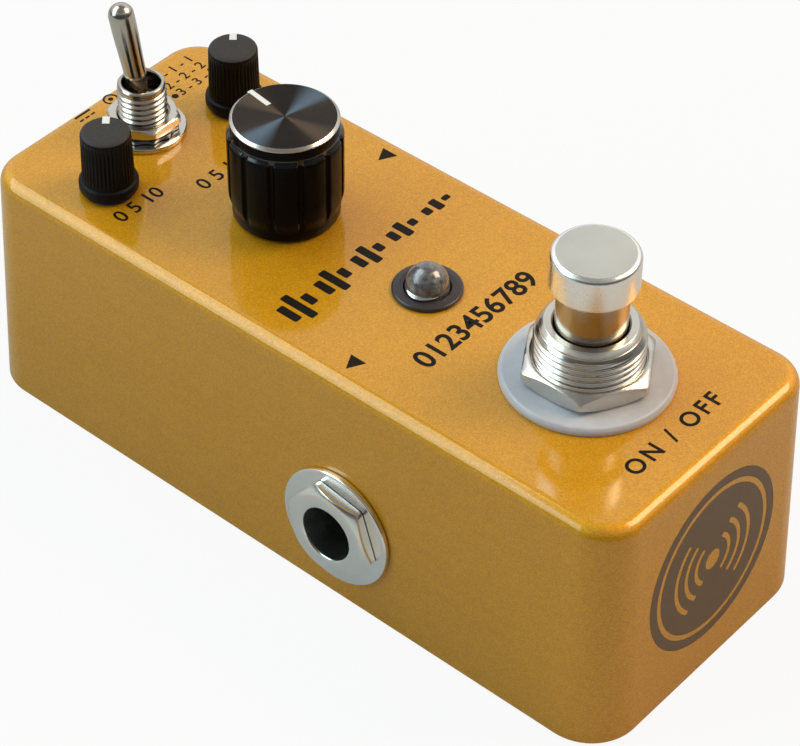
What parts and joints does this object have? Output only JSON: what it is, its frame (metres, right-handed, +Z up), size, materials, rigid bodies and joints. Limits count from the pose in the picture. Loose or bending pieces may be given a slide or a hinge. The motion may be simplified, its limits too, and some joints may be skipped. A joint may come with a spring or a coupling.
{
  "type": "delay pedal",
  "caption": "Compact delay effect pedal: drafted die-cast case with rotary knobs, a bat-lever toggle switch, a domed status light, a round footswitch and jack sockets in its walls.",
  "frame": {"origin": "centre of the case's outline on the ground, under the non-slip pad", "axes": "+Z up, +Y from the footswitch towards the power socket, -X towards the output socket"},
  "size_m": [0.042, 0.0934, 0.0481],
  "materials": {
    "gold_paint": "metallic flake paint",
    "plate_steel": "black satin paint",
    "black_rubber": "matte",
    "zinc_steel": "zinc plated",
    "green_board": "solder mask",
    "brown_phenolic": "matte",
    "grey_ribbon": "matte",
    "blue_switch": "satin",
    "red_switch": "satin",
    "black_plastic": "satin",
    "black_gloss": "gloss",
    "black_aluminium": "black anodised, spun",
    "white_inlay": "satin",
    "white_nylon": "satin",
    "smoked_resin": "clear smoked gloss",
    "nickel": "polished nickel",
    "satin_nickel": "satin nickel",
    "spring_steel": "bare",
    "brass": "turned"
  },
  "bodies": {
    "case": {"case_shell": "gold_paint", "base_plate": "plate_steel", "base_pad": "black_rubber", "base_screw_1": "zinc_steel", "base_screw_2": "zinc_steel", "base_screw_3": "zinc_steel", "base_screw_4": "zinc_steel", "main_board": "green_board", "delay_chip": "black_plastic", "audio_chip": "black_plastic", "power_capacitor": "zinc_steel", "footswitch_board": "brown_phenolic", "ribbon_cable": "grey_ribbon", "level_pot_body": "blue_switch", "feedback_pot_body": "blue_switch", "time_pot_body": "blue_switch", "toggle_body": "red_switch", "toggle_bushing": "nickel", "toggle_flat_washer": "nickel", "toggle_lock_washer": "spring_steel", "toggle_nut": "nickel", "light_bezel": "black_plastic", "light_lens": "smoked_resin", "footswitch_body": "blue_switch", "footswitch_bushing": "nickel", "footswitch_lock_washer": "spring_steel", "footswitch_nylon_washer": "white_nylon", "footswitch_nut": "nickel", "footswitch_spring": "spring_steel", "output_jack_housing": "black_plastic", "output_jack_washer": "nickel", "output_jack_nut": "nickel", "output_jack_contact": "spring_steel", "input_jack_housing": "black_plastic", "input_jack_washer": "nickel", "input_jack_nut": "nickel", "input_jack_contact": "spring_steel", "power_jack_body": "black_plastic", "power_jack_pin": "nickel"},
    "level_control": {"level_pot_shaft": "nickel", "level_knob": "black_plastic", "level_knob_mark": "white_inlay"},
    "feedback_control": {"feedback_pot_shaft": "nickel", "feedback_knob": "black_plastic", "feedback_knob_mark": "white_inlay"},
    "time_control": {"time_pot_shaft": "brass", "time_knob": "black_gloss", "time_knob_disc": "black_aluminium", "time_knob_pointer": "white_inlay"},
    "toggle": {"toggle_lever": "nickel"},
    "footswitch": {"footswitch_plunger": "nickel", "footswitch_cap": "satin_nickel"}
  },
  "joints": [
    {"name": "level_turn", "type": "hinge", "parent": "case", "child": "level_control", "pos_m": [-0.0104, 0.0321, 0.0311], "axis": [0, 0, 1], "range_deg": [-102, 198]},
    {"name": "feedback_turn", "type": "hinge", "parent": "case", "child": "feedback_control", "pos_m": [0.0104, 0.0321, 0.0311], "axis": [0, 0, 1], "range_deg": [-102, 198]},
    {"name": "time_turn", "type": "hinge", "parent": "case", "child": "time_control", "pos_m": [0, 0.01445, 0.0311], "axis": [0, 0, 1], "range_deg": [-142, 158]},
    {"name": "toggle_throw", "type": "hinge", "parent": "case", "child": "toggle", "pos_m": [0, 0.03674, 0.03455], "axis": [1, 0, 0], "range_deg": [0, 25.74]},
    {"name": "footswitch_press", "type": "slide", "parent": "case", "child": "footswitch", "axis": [0, 0, -1], "range_m": [0, 0.0025], "stiffness_N_per_m": 2000, "springref_m": -0.002, "deforming": ["footswitch_spring"]}
  ]
}
